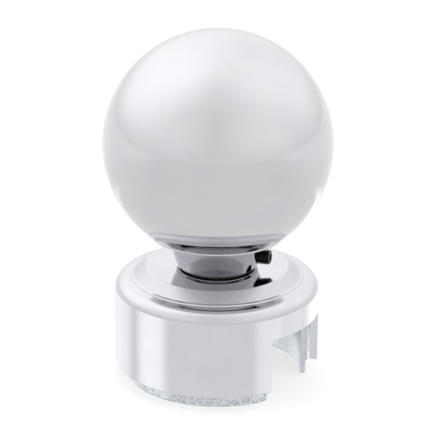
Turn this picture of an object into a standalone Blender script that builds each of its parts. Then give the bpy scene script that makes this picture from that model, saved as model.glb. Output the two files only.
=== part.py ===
"""Chrome ball gearshift knob on a round, windowed adapter for a truck splitter valve.

The axis of the knob and the adapter is Z. Z = 0 is the lower rim of the inner sleeve, on which the
assembly stands. The window of the skirt is centred on +X. Lengths are in metres.
"""

import bmesh
import bpy
from math import asin, cos, degrees, pi, radians, sin, sqrt, tan
from mathutils import Matrix, Vector

MM = 0.001

# Driving dimensions of the knob.
BALL_RADIUS = 29.37 * MM  # a ball of 2-5/16 in
BALL_WALL = 4.0 * MM
BALL_FLAT_RADIUS = 17.3 * MM  # of the flat underneath, which the neck meets
NECK_TOP_RADIUS = 13.2 * MM
NECK_FOOT_RADIUS = 10.5 * MM
NECK_HEIGHT = 8.7 * MM
NECK_EDGE = 0.8 * MM
NECK_SPIGOT_RADIUS = 9.3 * MM
NECK_SPIGOT_HEIGHT = 11.2 * MM
NECK_BORE_RADIUS = 6.8 * MM
NECK_LEDGE = 2.7 * MM  # of the insert's seat, below the neck's top
NECK_WASHER_RADIUS = 9.4 * MM
NECK_WASHER_HEIGHT = 0.2 * MM
BALL_BOSS_WALL = 3.2 * MM
INSERT_RADIUS = 7.9 * MM
INSERT_HEIGHT = 13.2 * MM

# Driving dimensions of the adapter.
SKIRT_RADIUS = 26.3 * MM
SKIRT_WALL = 2.1 * MM
SKIRT_FOOT_Z = 3.84 * MM
SHOULDER_RADIUS = 2.0 * MM
RIM_Z = 26.75 * MM
DISH_RADIUS = 18.4 * MM
DISH_CENTRE_Z = 29.6 * MM
DISH_EDGE_Z = 30.0 * MM
STEP_FOOT_RADIUS = 21.5 * MM
STEP_FOOT_Z = 27.6 * MM
STEP_BEAD = 0.65 * MM
DECK_UNDERSIDE_Z = 27.2 * MM
SLEEVE_RADIUS = 23.75 * MM
SLEEVE_LIP_RADIUS = 23.25 * MM
SLEEVE_LIP_HEIGHT = 3.9 * MM
SLEEVE_BORE_RADIUS = 21.85 * MM
WEB_TOP_Z = 23.1 * MM
WEB_THICKNESS = 2.5 * MM
WINDOW_TOP_Z = 18.3 * MM
WINDOW_CORNER = 1.2 * MM
SKIRT_WINDOW_HALF_ANGLE = 27.8
SLEEVE_WINDOW_HALF_ANGLE = 26.5
WINDOW_CUTTER_NEAR = 12.0 * MM
WINDOW_CUTTER_FAR = 34.0 * MM
WINDOW_CUTTER_FOOT_Z = -5.0 * MM

# Driving dimensions of the threaded pieces.
STUD_RADIUS = 6.35 * MM  # 1/2 in, 13 threads to the inch
STUD_FOOT_Z = 5.4 * MM
STUD_LENGTH = 43.6 * MM
NUT_ACROSS_FLATS = 19.05 * MM
NUT_HEIGHT = 7.9 * MM
LOCK_WASHER_RADIUS = 11.1 * MM
LOCK_WASHER_HEIGHT = 3.1 * MM
FLAT_WASHER_RADIUS = 12.7 * MM
FLAT_WASHER_HEIGHT = 1.8 * MM
SPLIT_ANGLE = 30.0  # of the cut through a lock washer, from upright
SPLIT_SHARE = 0.3  # of a lock washer's height, for the width of that cut
SET_SCREW_RADIUS = 1.9 * MM
SET_SCREW_LENGTH = 5.0 * MM
SET_SCREW_POINT = 0.5 * MM
SOCKET_RADIUS = 1.1 * MM
SOCKET_DEPTH = 2.2 * MM
SET_SCREW_Z = 33.5 * MM
SET_SCREW_END = 13.9 * MM  # from the axis to its outer end
SET_SCREW_ANGLE = 13.5
COVER_SCREW_RADIUS = 1.75 * MM
COVER_SCREW_HEAD_RADIUS = 2.7 * MM
COVER_SCREW_HEAD_HEIGHT = 2.1 * MM
COVER_SCREW_CIRCLE = 17.5 * MM
COVER_SCREW_ANGLES = (60.0, 180.0, 300.0)
COVER_BOSS_RADIUS = 3.2 * MM
SMALL_WASHER_RADIUS = 3.0 * MM
SMALL_WASHER_HEIGHT = 0.9 * MM
RECESS_ARM = 1.5 * MM
RECESS_HALF_WIDTH = 0.35 * MM
RECESS_DEPTH = 1.2 * MM
PIN_RADIUS = 1.2 * MM
PIN_BOSS_RADIUS = 2.6 * MM
VALVE_BOSS_RADIUS = 3.9 * MM
VALVE_BOSS_CIRCLE = 18.2 * MM
VALVE_BOSS_ANGLES = (120.0, 240.0)
VALVE_BOSS_FOOT_Z = 13.6 * MM
VALVE_INSERT_RADIUS = 2.9 * MM
VALVE_INSERT_BORE = 1.95 * MM

GAP = 0.25 * MM  # between pieces that touch on the real object
THREAD_GAP = 0.35 * MM  # radial, between a plain shank and its plain bore
SMALL_GAP = 0.15 * MM  # round the set screw, and at the neck's washer
PAST = 1.0 * MM  # how far a cutter runs past what it cuts
COARSE = 16
MEDIUM = 28
FINE = 48

# Heights that follow from the driving dimensions.
NECK_WASHER_Z = DISH_CENTRE_Z + SMALL_GAP
NECK_FOOT_Z = NECK_WASHER_Z + NECK_WASHER_HEIGHT + SMALL_GAP
NECK_TOP_Z = NECK_FOOT_Z + NECK_HEIGHT
SEAT_Z = NECK_TOP_Z + GAP
BALL_Z = SEAT_Z + sqrt(BALL_RADIUS**2 - BALL_FLAT_RADIUS**2)
WEB_Z = WEB_TOP_Z - WEB_THICKNESS
BOSS_Z = WEB_TOP_Z + GAP
FLAT_WASHER_Z = WEB_Z - GAP - FLAT_WASHER_HEIGHT
LOCK_WASHER_Z = FLAT_WASHER_Z - GAP - LOCK_WASHER_HEIGHT
NUT_Z = LOCK_WASHER_Z - GAP - NUT_HEIGHT
SMALL_WASHER_Z = WEB_Z - GAP - SMALL_WASHER_HEIGHT
STUD_HOLE_RADIUS = STUD_RADIUS + THREAD_GAP
INSERT_Z = NECK_TOP_Z - NECK_LEDGE + GAP
VALVE_INSERT_TOP_Z = WEB_Z - 0.3 * MM - GAP

CHROME = ("chrome", (0.80, 0.81, 0.83, 1.0), 0.06, 1.0)
PLATED_CASTING = ("plated_casting", (0.56, 0.57, 0.60, 1.0), 0.34, 1.0)
BLACK_OXIDE = ("black_oxide", (0.02, 0.02, 0.022, 1.0), 0.38, 0.6)
ZINC = ("zinc_plate", (0.62, 0.64, 0.66, 1.0), 0.28, 1.0)
BRASS = ("brass", (0.78, 0.58, 0.26, 1.0), 0.24, 1.0)
RUBBER = ("black_rubber", (0.018, 0.018, 0.018, 1.0), 0.62, 0.0)


def clear_scene():
    for obj in list(bpy.data.objects):
        bpy.data.objects.remove(obj)


def collection(name):
    made = bpy.data.collections.new(name)
    bpy.context.scene.collection.children.link(made)
    return made


def material(kind):
    name, colour, roughness, metallic = kind
    made = bpy.data.materials.get(name) or bpy.data.materials.new(name)
    made.use_nodes = True
    shader = made.node_tree.nodes["Principled BSDF"]
    shader.inputs["Base Color"].default_value = colour
    shader.inputs["Roughness"].default_value = roughness
    shader.inputs["Metallic"].default_value = metallic
    made.diffuse_color = colour
    return made


def arc(centre_x, centre_z, radius, start, end, count):
    """Points on an arc in the XZ plane, from one angle in degrees to another, both included."""
    step = (end - start) / (count - 1)
    angles = [radians(start + step * index) for index in range(count)]
    return [(centre_x + radius * cos(a), centre_z + radius * sin(a)) for a in angles]


def place(circle, angle):
    """X and Y of a point on a circle round the axis."""
    return circle * cos(radians(angle)), circle * sin(radians(angle))


def new_object(name, mesh, where, kind=None):
    obj = bpy.data.objects.new(name, mesh)
    where.objects.link(obj)
    if kind:
        mesh.materials.append(material(kind))
    return obj


def turned(name, profile, steps, where, kind=None, closed=True):
    """A turned piece: its profile runs down its outer side and is spun about Z by a Screw modifier."""
    mesh = bpy.data.meshes.new(name)
    edges = [(index, index + 1) for index in range(len(profile) - 1)]
    if closed:
        edges.append((len(profile) - 1, 0))
    mesh.from_pydata([(x, 0.0, z) for x, z in profile], edges, [])
    obj = new_object(name, mesh, where, kind)
    screw = obj.modifiers.new("Turn", "SCREW")
    screw.angle = 2 * pi
    screw.steps = steps
    screw.render_steps = steps
    screw.use_merge_vertices = True
    screw.merge_threshold = 0.00001
    screw.use_smooth_shade = True
    return obj


def cutter_style(obj):
    obj.hide_render = True
    obj.display_type = "WIRE"
    return obj


def ring_profile(inner, outer, low, high):
    """Section of a plain flat ring."""
    return [(inner, high), (outer, high), (outer, low), (inner, low)]


def cylinders(name, rods, steps, where):
    """One mesh of separate upright cylinders, each given as (x, y, radius, low, high)."""
    work = bmesh.new()
    for x, y, radius, low, high in rods:
        bmesh.ops.create_cone(
            work,
            cap_ends=True,
            segments=steps,
            radius1=radius,
            radius2=radius,
            depth=high - low,
            matrix=Matrix.Translation((x, y, (low + high) / 2)),
        )
    mesh = bpy.data.meshes.new(name)
    work.to_mesh(mesh)
    work.free()
    return new_object(name, mesh, where)


def window_wedge(name, half_angle, where):
    """A wedge seen from above, centred on +X, with its two upper corners rounded."""
    spread = tan(radians(half_angle))
    work = bmesh.new()
    bmesh.ops.create_cube(work, size=1.0)
    for vert in work.verts:
        reach = WINDOW_CUTTER_FAR if vert.co.x > 0 else WINDOW_CUTTER_NEAR
        side = reach * spread * (1 if vert.co.y > 0 else -1)
        vert.co = (reach, side, WINDOW_TOP_Z if vert.co.z > 0 else WINDOW_CUTTER_FOOT_Z)
    tops = [edge for edge in work.edges if is_top_side(edge)]
    bmesh.ops.bevel(work, geom=tops, offset=WINDOW_CORNER, segments=4, profile=0.5, affect="EDGES")
    bmesh.ops.recalc_face_normals(work, faces=work.faces)
    mesh = bpy.data.meshes.new(name)
    work.to_mesh(mesh)
    work.free()
    return new_object(name, mesh, where)


def is_top_side(edge):
    """True for the two upper edges of the wedge that run outward from the axis."""
    first, second = edge.verts
    on_top = min(first.co.z, second.co.z) > 0
    return on_top and abs(first.co.x - second.co.x) > MM


def boolean(obj, other, operation):
    modifier = obj.modifiers.new(operation.title(), "BOOLEAN")
    modifier.operation = operation
    modifier.object = other
    modifier.solver = "EXACT"


def baked_mesh(obj):
    """The mesh that an object's modifiers make, so that copies can share it."""
    bpy.context.view_layer.update()
    graph = bpy.context.evaluated_depsgraph_get()
    return bpy.data.meshes.new_from_object(obj.evaluated_get(graph))


def copies(names, pattern, places, where):
    """Separate objects at each place that share the mesh of a pattern object, which is then removed."""
    mesh = baked_mesh(pattern)
    bpy.data.objects.remove(pattern)
    for name, (x, y) in zip(names, places):
        obj = bpy.data.objects.new(name, mesh)
        where.objects.link(obj)
        obj.location = (x, y, 0.0)


def numbered(stem, count):
    return [f"{stem}_{index + 1}" for index in range(count)]


def knob_ball(parts):
    """Hollow ball with a flat seat below and a bored boss inside, which takes the neck's spigot."""
    seat_angle = -degrees(asin((BALL_Z - SEAT_Z) / BALL_RADIUS))
    inner = BALL_RADIUS - BALL_WALL
    bore = NECK_SPIGOT_RADIUS + GAP
    boss = bore + BALL_BOSS_WALL
    boss_top = NECK_TOP_Z + NECK_SPIGOT_HEIGHT + GAP
    hollow_angle = -degrees(asin(sqrt(inner**2 - boss**2) / inner))
    profile = arc(0.0, BALL_Z, BALL_RADIUS, 90, 0, 11)
    profile[0] = (0.0, BALL_Z + BALL_RADIUS)
    profile += arc(0.0, BALL_Z, BALL_RADIUS, 0, seat_angle, 9)[1:]
    profile += [(bore, SEAT_Z), (bore, boss_top), (boss, boss_top)]
    profile += arc(0.0, BALL_Z, inner, hollow_angle, 90, 9)
    profile[-1] = (0.0, BALL_Z + inner)
    turned("knob_ball", profile, FINE, parts, CHROME, closed=False)


def knob_neck(parts, cutters):
    """Tapered collar under the ball, with a spigot that goes up into it and a cross hole."""
    edge = arc(NECK_FOOT_RADIUS - NECK_EDGE, NECK_FOOT_Z + NECK_EDGE, NECK_EDGE, 0, -90, 5)
    seat = INSERT_RADIUS + GAP
    ledge = NECK_TOP_Z - NECK_LEDGE
    spigot_top = NECK_TOP_Z + NECK_SPIGOT_HEIGHT
    profile = [(seat, spigot_top), (NECK_SPIGOT_RADIUS, spigot_top), (NECK_SPIGOT_RADIUS, NECK_TOP_Z)]
    profile += [(NECK_TOP_RADIUS, NECK_TOP_Z), *edge]
    profile += [(NECK_BORE_RADIUS, NECK_FOOT_Z), (NECK_BORE_RADIUS, ledge), (seat, ledge)]
    neck = turned("knob_neck", profile, FINE, parts, CHROME)
    near, far = NECK_BORE_RADIUS - 3 * PAST, NECK_TOP_RADIUS + 3 * PAST
    bore = (0, 0, SET_SCREW_RADIUS + SMALL_GAP, near, far)
    hole = cylinders("set_screw_hole", [bore], COARSE, cutters)
    aim_outward(cutter_style(hole))
    boolean(neck, hole, "DIFFERENCE")


def aim_outward(obj):
    """Turns a piece drawn along +Z so that it points out of the neck, at the set screw's place."""
    turn = Matrix.Rotation(radians(SET_SCREW_ANGLE), 4, "Z") @ Matrix.Rotation(radians(90), 4, "Y")
    obj.matrix_world = Matrix.Translation((0, 0, SET_SCREW_Z)) @ turn


def thread_insert(parts):
    """Brass bush pressed into the spigot, with the knob's thread."""
    high = INSERT_Z + INSERT_HEIGHT
    groove = 0.5 * MM
    middle = (INSERT_Z + high) / 2
    waist = [
        (INSERT_RADIUS, middle + 2 * groove),
        (INSERT_RADIUS - groove, middle + groove),
        (INSERT_RADIUS - groove, middle - groove),
        (INSERT_RADIUS, middle - 2 * groove),
    ]
    profile = [(STUD_HOLE_RADIUS, high), (INSERT_RADIUS, high), *waist]
    profile += [(INSERT_RADIUS, INSERT_Z), (STUD_HOLE_RADIUS, INSERT_Z)]
    turned("knob_thread_insert", profile, MEDIUM, parts, BRASS)


def set_screw(parts, cutters):
    """Socket set screw with a cup point, standing out of the neck."""
    start = SET_SCREW_END - SET_SCREW_LENGTH
    chamfer = 0.3 * MM
    profile = [
        (0.0, SET_SCREW_END),
        (SET_SCREW_RADIUS - chamfer, SET_SCREW_END),
        (SET_SCREW_RADIUS, SET_SCREW_END - chamfer),
        (SET_SCREW_RADIUS, start + 2 * SET_SCREW_POINT),
        (SET_SCREW_RADIUS / 2, start),
        (0.0, start + SET_SCREW_POINT),
    ]
    screw = turned("neck_set_screw", profile, COARSE, parts, BLACK_OXIDE, closed=False)
    aim_outward(screw)
    hexagon = (0, 0, SOCKET_RADIUS, SET_SCREW_END - SOCKET_DEPTH, SET_SCREW_END + PAST)
    socket = cylinders("set_screw_socket", [hexagon], 6, cutters)
    aim_outward(cutter_style(socket))
    boolean(screw, socket, "DIFFERENCE")


def neck_washer(parts):
    """Thin black washer between the neck and the dish of the cover."""
    high = NECK_WASHER_Z + NECK_WASHER_HEIGHT
    profile = ring_profile(NECK_BORE_RADIUS + 0.2 * MM, NECK_WASHER_RADIUS, NECK_WASHER_Z, high)
    turned("neck_washer", profile, MEDIUM, parts, RUBBER)


def cover_profile():
    """Outer side of the cover from its centre hole down to the foot of the skirt, then back inside."""
    lip = 0.3 * MM
    foot = 0.45 * MM
    inner = SKIRT_RADIUS - SKIRT_WALL
    inner_shoulder = 1.4 * MM
    inner_top = RIM_Z - 1.5 * MM
    shoulder_x = SKIRT_RADIUS - SHOULDER_RADIUS
    bead = STEP_FOOT_RADIUS + STEP_BEAD
    outside = [(STUD_HOLE_RADIUS, DISH_CENTRE_Z), (NECK_WASHER_RADIUS + GAP, DISH_CENTRE_Z)]
    outside += arc(DISH_RADIUS - lip, DISH_EDGE_Z - lip, lip, 90, 30, 3)
    outside += [(STEP_FOOT_RADIUS, STEP_FOOT_Z), (bead, STEP_FOOT_Z - 0.1 * MM)]
    outside += [(bead + 0.1 * MM, STEP_FOOT_Z - 0.4 * MM)]
    outside += arc(shoulder_x, RIM_Z - SHOULDER_RADIUS, SHOULDER_RADIUS, 85, 0, 5)
    outside += arc(SKIRT_RADIUS - foot, SKIRT_FOOT_Z + foot, foot, 0, -90, 3)
    inside = arc(inner + foot, SKIRT_FOOT_Z + foot, foot, -90, -180, 3)
    inside += arc(inner - inner_shoulder, inner_top - inner_shoulder, inner_shoulder, 0, 90, 3)
    inside += [(STEP_FOOT_RADIUS - 1.2 * MM, inner_top), (DISH_RADIUS - 1.0 * MM, DECK_UNDERSIDE_Z)]
    return outside + inside + [(STUD_HOLE_RADIUS, DECK_UNDERSIDE_Z)]


def adapter_cover(parts, cutters):
    """Plated cap: dished deck, stepped rim and long skirt with a window open to its foot."""
    cover = turned("adapter_cover", cover_profile(), FINE, parts, CHROME)
    top = DECK_UNDERSIDE_Z + 0.6 * MM
    bosses = [(*place(COVER_SCREW_CIRCLE, a), COVER_BOSS_RADIUS, BOSS_Z, top) for a in COVER_SCREW_ANGLES]
    bosses.append((COVER_SCREW_CIRCLE, 0.0, PIN_BOSS_RADIUS, BOSS_Z, top))
    boolean(cover, cutter_style(cylinders("cover_bosses", bosses, COARSE, cutters)), "UNION")
    radius = COVER_SCREW_RADIUS + GAP
    low = BOSS_Z - PAST
    holes = [(*place(COVER_SCREW_CIRCLE, a), radius, low, DECK_UNDERSIDE_Z) for a in COVER_SCREW_ANGLES]
    holes.append((COVER_SCREW_CIRCLE, 0.0, PIN_RADIUS + GAP, low, DECK_UNDERSIDE_Z - 0.8 * MM))
    boolean(cover, cutter_style(cylinders("cover_boss_holes", holes, COARSE, cutters)), "DIFFERENCE")
    window = window_wedge("skirt_window", SKIRT_WINDOW_HALF_ANGLE, cutters)
    boolean(cover, cutter_style(window), "DIFFERENCE")


def sleeve_profile():
    """Cast sleeve: web on top, wall with a narrower lip at its foot, and the bore."""
    rim = 0.7 * MM
    chamfer = 0.6 * MM
    fillet = 1.0 * MM
    step = 0.3 * MM
    outside = [(STUD_HOLE_RADIUS, WEB_TOP_Z), (SLEEVE_RADIUS - chamfer, WEB_TOP_Z)]
    outside += [(SLEEVE_RADIUS, WEB_TOP_Z - chamfer), (SLEEVE_RADIUS, SLEEVE_LIP_HEIGHT)]
    outside += [(SLEEVE_LIP_RADIUS, SLEEVE_LIP_HEIGHT - step)]
    outside += arc(SLEEVE_LIP_RADIUS - rim, rim, rim, 0, -90, 4)
    inside = arc(SLEEVE_BORE_RADIUS + step, step, step, -90, -180, 3)
    inside += arc(SLEEVE_BORE_RADIUS - fillet, WEB_Z - fillet, fillet, 0, 90, 3)
    return outside + inside + [(STUD_HOLE_RADIUS, WEB_Z)]


def adapter_sleeve(parts, cutters):
    """Inner cup of the adapter, which slips over the valve."""
    sleeve = turned("adapter_sleeve", sleeve_profile(), FINE, parts, PLATED_CASTING)
    valve_places = [place(VALVE_BOSS_CIRCLE, angle) for angle in VALVE_BOSS_ANGLES]
    bosses = [(x, y, VALVE_BOSS_RADIUS, VALVE_BOSS_FOOT_Z, WEB_Z + PAST) for x, y in valve_places]
    boolean(sleeve, cutter_style(cylinders("sleeve_bosses", bosses, COARSE, cutters)), "UNION")
    radius = COVER_SCREW_RADIUS + GAP
    low, high = WEB_Z - PAST, WEB_TOP_Z + PAST
    holes = [(*place(COVER_SCREW_CIRCLE, a), radius, low, high) for a in COVER_SCREW_ANGLES]
    holes.append((COVER_SCREW_CIRCLE, 0.0, PIN_RADIUS + GAP, low, high))
    insert_hole = (VALVE_INSERT_RADIUS + GAP, VALVE_BOSS_FOOT_Z - PAST, VALVE_INSERT_TOP_Z + GAP)
    holes += [(x, y, *insert_hole) for x, y in valve_places]
    boolean(sleeve, cutter_style(cylinders("sleeve_holes", holes, COARSE, cutters)), "DIFFERENCE")
    window = window_wedge("sleeve_window", SLEEVE_WINDOW_HALF_ANGLE, cutters)
    boolean(sleeve, cutter_style(window), "DIFFERENCE")


def mounting_stud(parts):
    """Stud with chamfered ends, from below the nut up into the knob's insert."""
    high = STUD_FOOT_Z + STUD_LENGTH
    chamfer = 1.0 * MM
    end = STUD_RADIUS - chamfer
    profile = [(0.0, high), (end, high), (STUD_RADIUS, high - chamfer)]
    profile += [(STUD_RADIUS, STUD_FOOT_Z + chamfer), (end, STUD_FOOT_Z), (0.0, STUD_FOOT_Z)]
    turned("mounting_stud", profile, MEDIUM, parts, ZINC, closed=False)


def stud_nut(parts, cutters):
    """Hexagon jam nut with its corners turned off."""
    corner = NUT_ACROSS_FLATS / sqrt(3)
    high = NUT_Z + NUT_HEIGHT
    nut = cylinders("stud_nut", [(0, 0, corner, NUT_Z, high)], 6, parts)
    nut.data.materials.append(material(ZINC))
    flat, wide, fall = NUT_ACROSS_FLATS / 2, corner + 0.9 * MM, 1.45 * MM
    outline = [(0.0, high), (flat, high), (wide, high - fall)]
    outline += [(wide, NUT_Z + fall), (flat, NUT_Z), (0.0, NUT_Z)]
    turning = turned("nut_turning", outline, MEDIUM, cutters, closed=False)
    boolean(nut, cutter_style(turning), "INTERSECT")
    hole = cylinders("nut_hole", [(0, 0, STUD_HOLE_RADIUS, NUT_Z - PAST, high + PAST)], MEDIUM, cutters)
    boolean(nut, cutter_style(hole), "DIFFERENCE")


def split_ring(name, inner, outer, low, height, where, cutters):
    """Split lock washer: a square ring with a slanting cut through one side."""
    steps = COARSE if outer < STUD_RADIUS else MEDIUM
    ring = turned(name, ring_profile(inner, outer, low, low + height), steps, where, ZINC)
    work = bmesh.new()
    bmesh.ops.create_cube(work, size=1.0)
    mesh = bpy.data.meshes.new(name + "_cut")
    work.to_mesh(mesh)
    work.free()
    cut = cutter_style(new_object(name + "_cut", mesh, cutters))
    cut.scale = (SPLIT_SHARE * height, outer, 3 * height)
    cut.location = (0.0, outer, low + height / 2)
    cut.rotation_euler = (0.0, radians(SPLIT_ANGLE), 0.0)
    boolean(ring, cut, "DIFFERENCE")
    return ring


def stud_washers(parts, cutters):
    """Flat washer under the web and lock washer under it, above the nut."""
    inner, low = STUD_HOLE_RADIUS, FLAT_WASHER_Z
    profile = ring_profile(inner, FLAT_WASHER_RADIUS, low, low + FLAT_WASHER_HEIGHT)
    turned("stud_flat_washer", profile, MEDIUM, parts, ZINC)
    size = (inner, LOCK_WASHER_RADIUS, LOCK_WASHER_Z, LOCK_WASHER_HEIGHT)
    split_ring("stud_lock_washer", *size, parts, cutters)


def cover_screws(parts, cutters):
    """Three pan head screws, each with a lock washer, that hold the cover on the sleeve's web."""
    places = [place(COVER_SCREW_CIRCLE, angle) for angle in COVER_SCREW_ANGLES]
    seat = SMALL_WASHER_Z - GAP
    foot = seat - COVER_SCREW_HEAD_HEIGHT
    end = DECK_UNDERSIDE_Z - 2 * GAP
    round_off = 0.9 * MM
    crown = arc(COVER_SCREW_HEAD_RADIUS - round_off, foot + round_off, round_off, 0, -90, 4)
    profile = [(0.0, end), (COVER_SCREW_RADIUS, end), (COVER_SCREW_RADIUS, seat)]
    profile += [(COVER_SCREW_HEAD_RADIUS, seat), *crown, (0.0, foot)]
    screw = turned("cover_screw", profile, COARSE, parts, ZINC, closed=False)
    recess = cross_recess(foot, cutters)
    boolean(screw, recess, "DIFFERENCE")
    copies(numbered("cover_screw", 3), screw, places, parts)
    bpy.data.objects.remove(recess)
    size = (COVER_SCREW_RADIUS + GAP, SMALL_WASHER_RADIUS, SMALL_WASHER_Z, SMALL_WASHER_HEIGHT)
    ring = split_ring("small_ring", *size, parts, cutters)
    copies(numbered("cover_screw_lock_washer", 3), ring, places, parts)


def cross_recess(foot, cutters):
    """A plus-shaped prism for the driver recess, with one corner in each quarter."""
    arm, half = RECESS_ARM, RECESS_HALF_WIDTH
    quarter = [(arm, -half), (arm, half), (half, half)]
    outline = []
    for turn in range(4):
        spin = Matrix.Rotation(radians(90 * turn), 2)
        outline += [spin @ Vector(corner) for corner in quarter]
    work = bmesh.new()
    face = work.faces.new([work.verts.new((x, y, foot - PAST)) for x, y in outline])
    grown = bmesh.ops.extrude_face_region(work, geom=[face])["geom"]
    tops = [item for item in grown if isinstance(item, bmesh.types.BMVert)]
    bmesh.ops.translate(work, verts=tops, vec=(0, 0, RECESS_DEPTH + PAST))
    bmesh.ops.recalc_face_normals(work, faces=work.faces)
    mesh = bpy.data.meshes.new("cross_recess")
    work.to_mesh(mesh)
    work.free()
    return cutter_style(new_object("cross_recess", mesh, cutters))


def valve_screw_inserts(parts):
    """Two brass bushes in the web's bosses, for the screws that come up from the valve."""
    places = [place(VALVE_BOSS_CIRCLE, angle) for angle in VALVE_BOSS_ANGLES]
    low, high = VALVE_BOSS_FOOT_Z + GAP, VALVE_INSERT_TOP_Z
    inner, outer = VALVE_INSERT_BORE, VALVE_INSERT_RADIUS
    middle, groove = (low + high) / 2, 0.4 * MM
    waist = outer - groove
    profile = [(inner, high), (outer, high), (outer, middle + 2 * groove), (waist, middle + groove)]
    profile += [(waist, middle - groove), (outer, middle - 2 * groove), (outer, low), (inner, low)]
    bush = turned("valve_bush", profile, COARSE, parts, BRASS)
    copies(numbered("valve_screw_insert", 2), bush, places, parts)


def locating_pin(parts):
    """Dowel that keeps the window of the cover in line with the window of the sleeve."""
    low, high = WEB_Z + 0.2 * MM, DECK_UNDERSIDE_Z - 1.1 * MM
    chamfer = 0.3 * MM
    end = PIN_RADIUS - chamfer
    profile = [(0.0, high), (end, high), (PIN_RADIUS, high - chamfer)]
    profile += [(PIN_RADIUS, low + chamfer), (end, low), (0.0, low)]
    pin = turned("cover_locating_pin", profile, COARSE, parts, ZINC, closed=False)
    pin.location = (COVER_SCREW_CIRCLE, 0.0, 0.0)


def main():
    clear_scene()
    parts = collection("gearshift_knob_with_adapter")
    cutters = collection("cutters")
    knob_ball(parts)
    knob_neck(parts, cutters)
    thread_insert(parts)
    set_screw(parts, cutters)
    neck_washer(parts)
    adapter_cover(parts, cutters)
    adapter_sleeve(parts, cutters)
    mounting_stud(parts)
    stud_nut(parts, cutters)
    stud_washers(parts, cutters)
    cover_screws(parts, cutters)
    valve_screw_inserts(parts)
    locating_pin(parts)


main()
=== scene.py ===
"""Visual model of a chrome ball gearshift knob on a round, windowed valve adapter.

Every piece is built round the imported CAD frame. Lengths are in metres, and the knob's axis is Z.
"""

from math import acos, atan2, ceil, cos, degrees, pi, radians, sin, sqrt, tan

import bmesh
import bpy
from mathutils import Matrix, Vector, noise


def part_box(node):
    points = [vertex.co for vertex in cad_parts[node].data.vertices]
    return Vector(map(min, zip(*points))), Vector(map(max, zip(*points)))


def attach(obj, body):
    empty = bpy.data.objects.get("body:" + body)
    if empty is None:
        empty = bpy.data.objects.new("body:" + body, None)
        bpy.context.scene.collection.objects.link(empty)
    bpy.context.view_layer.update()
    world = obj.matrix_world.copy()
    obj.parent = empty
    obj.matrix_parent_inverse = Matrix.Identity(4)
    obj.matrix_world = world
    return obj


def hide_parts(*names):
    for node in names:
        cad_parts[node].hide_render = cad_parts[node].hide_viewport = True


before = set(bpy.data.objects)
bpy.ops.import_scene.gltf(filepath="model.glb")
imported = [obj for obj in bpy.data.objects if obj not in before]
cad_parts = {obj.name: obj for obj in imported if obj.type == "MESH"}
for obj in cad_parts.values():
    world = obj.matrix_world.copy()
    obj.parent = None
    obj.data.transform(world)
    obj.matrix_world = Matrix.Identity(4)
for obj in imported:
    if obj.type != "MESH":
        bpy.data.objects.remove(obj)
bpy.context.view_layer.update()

MM = 0.001

# Sizes and heights read from the frame.
ball_low, ball_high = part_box("knob_ball")
neck_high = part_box("knob_neck")[1]
insert_low, insert_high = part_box("knob_thread_insert")
cover_low, cover_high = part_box("adapter_cover")
sleeve_low, sleeve_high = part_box("adapter_sleeve")
stud_low, stud_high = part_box("mounting_stud")
nut_low, nut_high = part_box("stud_nut")
washer_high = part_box("neck_washer")[1]
BALL_RADIUS = ball_high.x
BALL_Z = ball_high.z - BALL_RADIUS
SEAT_Z = ball_low.z
NECK_TOP_RADIUS = neck_high.x
SKIRT_RADIUS = cover_high.x
SLEEVE_RADIUS = sleeve_high.x
STUD_RADIUS = stud_high.x
DISH_EDGE_Z = cover_high.z
WEB_TOP_Z = sleeve_high.z

# Sizes that the frame's boxes don't give.
BALL_WALL = 4.0 * MM
BALL_BOSS_RADIUS = 12.75 * MM
LAND_RADIUS = 17.9 * MM
LAND_HEIGHT = 0.2 * MM
SPIGOT_RADIUS = 9.3 * MM
SPIGOT_CLEARANCE = 0.25 * MM
NECK_WAIST_RADIUS = 10.42 * MM
NECK_WAIST_HEIGHT = 0.5 * MM
NECK_FOOT_RADIUS = 9.95 * MM
NECK_BORE_RADIUS = 6.8 * MM
INSERT_SEAT_RADIUS = 8.15 * MM
DISH_CENTRE_Z = 29.6 * MM
NECK_FOOT_Z = 30.0 * MM
DISH_BEND_RADIUS = 12.5 * MM
DISH_RADIUS = 18.43 * MM
STEP_FOOT_RADIUS = 21.5 * MM
STEP_FOOT_Z = 27.6 * MM
RIM_CORNER_Z = 26.5 * MM
SHOULDER_RADIUS = 3.1 * MM
DECK_UNDERSIDE_Z = 27.2 * MM
SKIRT_BORE_RADIUS = 24.2 * MM
SKIRT_CEILING_Z = 25.25 * MM
HUB_RADIUS = 6.7 * MM
LIP_RADIUS = 23.25 * MM
LIP_HEIGHT = 3.9 * MM
SLEEVE_BORE_RADIUS = 21.85 * MM
WEB_Z = 20.6 * MM
WINDOW_TOP_Z = 18.3 * MM
WINDOW_CORNER = 1.2 * MM
SKIRT_WINDOW_HALF_ANGLE = 27.8
SLEEVE_WINDOW_HALF_ANGLE = 26.5
SET_SCREW_ANGLE = 13.5
SET_SCREW_Z = 33.5 * MM
SET_SCREW_RADIUS = 1.98 * MM
SET_SCREW_END = 14.2 * MM
SET_SCREW_LENGTH = 5.0 * MM
BOLT_CIRCLE = 17.5 * MM
COVER_SCREW_ANGLES = (60.0, 180.0, 300.0)
VALVE_BOSS_CIRCLE = 18.2 * MM
VALVE_BOSS_ANGLES = (120.0, 240.0)
VALVE_BOSS_FOOT_Z = 13.6 * MM
VALVE_BOSS_RADIUS = 3.9 * MM
VALVE_BOSS_BORE = 3.0 * MM
SCREW_HOLE_RADIUS = 2.0 * MM
PIN_RADIUS = 1.2 * MM
COVER_BOSS_RADIUS = 3.2 * MM
PIN_BOSS_RADIUS = 2.6 * MM

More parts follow.
